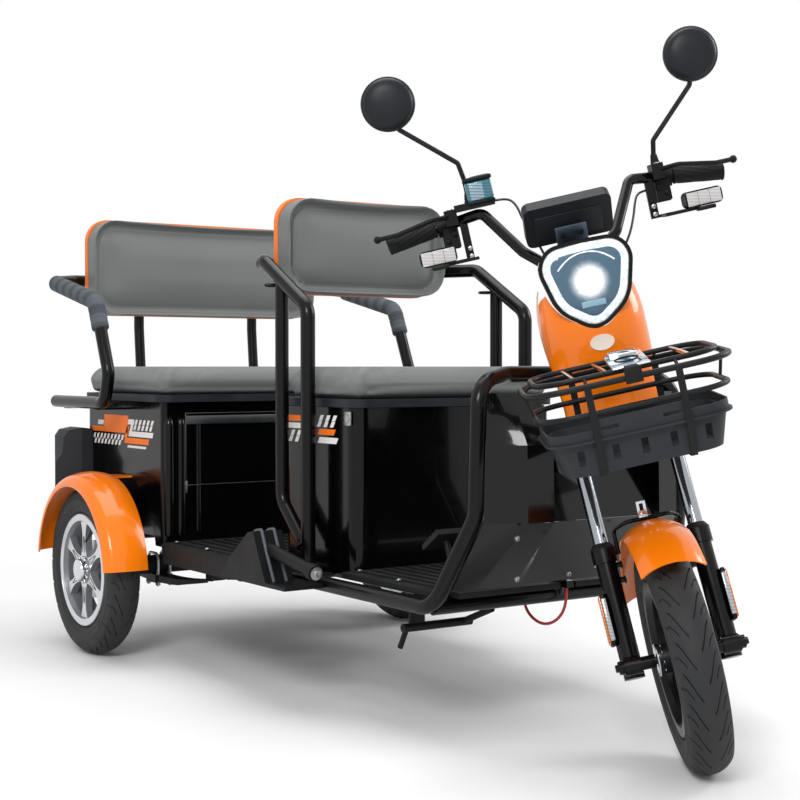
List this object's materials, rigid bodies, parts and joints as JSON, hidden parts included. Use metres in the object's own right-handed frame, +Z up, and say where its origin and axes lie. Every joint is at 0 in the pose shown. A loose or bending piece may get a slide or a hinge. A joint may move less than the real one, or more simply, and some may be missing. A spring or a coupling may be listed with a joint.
{
  "type": "electric passenger tricycle",
  "caption": "Three-wheeled electric tricycle with a driver's seat, a two-place rear seat with armrests, a front basket, orange fenders and black bodywork.",
  "frame": {"origin": "on the ground, under the middle of the bounding box, with the front wheel parked turned to the right", "axes": "+X forward, +Y to the tricycle's left, +Z up"},
  "size_m": [2.1944, 1.07, 1.3955],
  "materials": {
    "frame_black": "gloss",
    "box_black": "gloss",
    "floor_black": "matte",
    "orange": "gloss",
    "seat_grey": "satin",
    "seat_base": "matte",
    "foam_grey": "matte",
    "tyre": "matte",
    "rim_silver": "satin",
    "rim_black": "satin",
    "steel_dark": "satin",
    "battery": "matte",
    "chrome": "polished",
    "plastic_black": "satin",
    "lamp_body": "gloss",
    "lens": "polished",
    "grip_rubber": "matte",
    "cord_black": "satin",
    "cord_red": "satin"
  },
  "bodies": {
    "chassis": {"chassis_frame": "frame_black", "leg_guard_hoop": "frame_black", "driver_floor": "floor_black", "passenger_floor": "floor_black", "rear_box": "box_black", "driver_box": "box_black", "leg_shield": "box_black", "leg_apron": "box_black", "seat_guards": "frame_black", "driver_backrest_pad": "seat_grey", "driver_backrest_cover": "orange", "rear_backrest_pad": "seat_grey", "rear_backrest_cover": "orange", "rear_seat_frame": "frame_black", "armrest_foam": "foam_grey", "rear_fenders": "orange", "tail_lamps": "plastic_black", "rear_axle": "steel_dark", "leaf_springs": "steel_dark", "battery_pack": "battery", "parking_brake": "plastic_black", "foot_brake": "steel_dark", "brake_linkage": "steel_dark", "floor_cable": "cord_red"},
    "driver_seat": {"driver_seat_base": "seat_base", "driver_seat_pad": "seat_grey"},
    "rear_seat": {"rear_seat_base": "seat_base", "rear_seat_pad": "seat_grey"},
    "steering": {"steering_stem": "frame_black", "fork_stanchions": "chrome", "fork_legs": "frame_black", "front_axle": "steel_dark", "handlebar": "frame_black", "grips": "grip_rubber", "bar_controls": "plastic_black", "mirrors": "plastic_black", "display": "plastic_black", "headlight_housing": "lamp_body", "headlight_lens": "lens", "front_cowl": "orange", "basket_wire": "frame_black", "basket_tray": "plastic_black", "front_fender": "orange", "fender_brace": "frame_black", "aux_lamps": "plastic_black", "bar_hose": "cord_black", "bar_cable": "cord_black"},
    "front_wheel": {"front_tyre": "tyre", "front_rim": "rim_black"},
    "rear_wheel_right": {"rear_tyre_right": "tyre", "rear_rim_right": "rim_silver"},
    "rear_wheel_left": {"rear_tyre_left": "tyre", "rear_rim_left": "rim_silver"}
  },
  "joints": [
    {"name": "steering", "type": "hinge", "parent": "chassis", "child": "steering", "pos_m": [0.7428, 0, 0.5], "axis": [-0.3665, 0, 0.9304], "range_deg": [-5, 79]},
    {"name": "front_wheel_spin", "type": "hinge", "parent": "steering", "child": "front_wheel", "pos_m": [0.91363, -0.0391, 0.20791], "axis": [0.5599, 0.7986, 0.2206], "continuous": true},
    {"name": "rear_wheel_right_spin", "type": "hinge", "parent": "chassis", "child": "rear_wheel_right", "pos_m": [-0.7192, -0.468, 0.212], "axis": [0, 1, 0], "continuous": true},
    {"name": "rear_wheel_left_spin", "type": "hinge", "parent": "chassis", "child": "rear_wheel_left", "pos_m": [-0.7192, 0.468, 0.212], "axis": [0, 1, 0], "continuous": true},
    {"name": "driver_seat_lid", "type": "hinge", "parent": "chassis", "child": "driver_seat", "pos_m": [-0.1312, 0, 0.638], "axis": [0, -1, 0], "range_deg": [0, 65]},
    {"name": "rear_seat_lid", "type": "hinge", "parent": "chassis", "child": "rear_seat", "pos_m": [-0.9812, 0, 0.638], "axis": [0, -1, 0], "range_deg": [0, 65]}
  ]
}
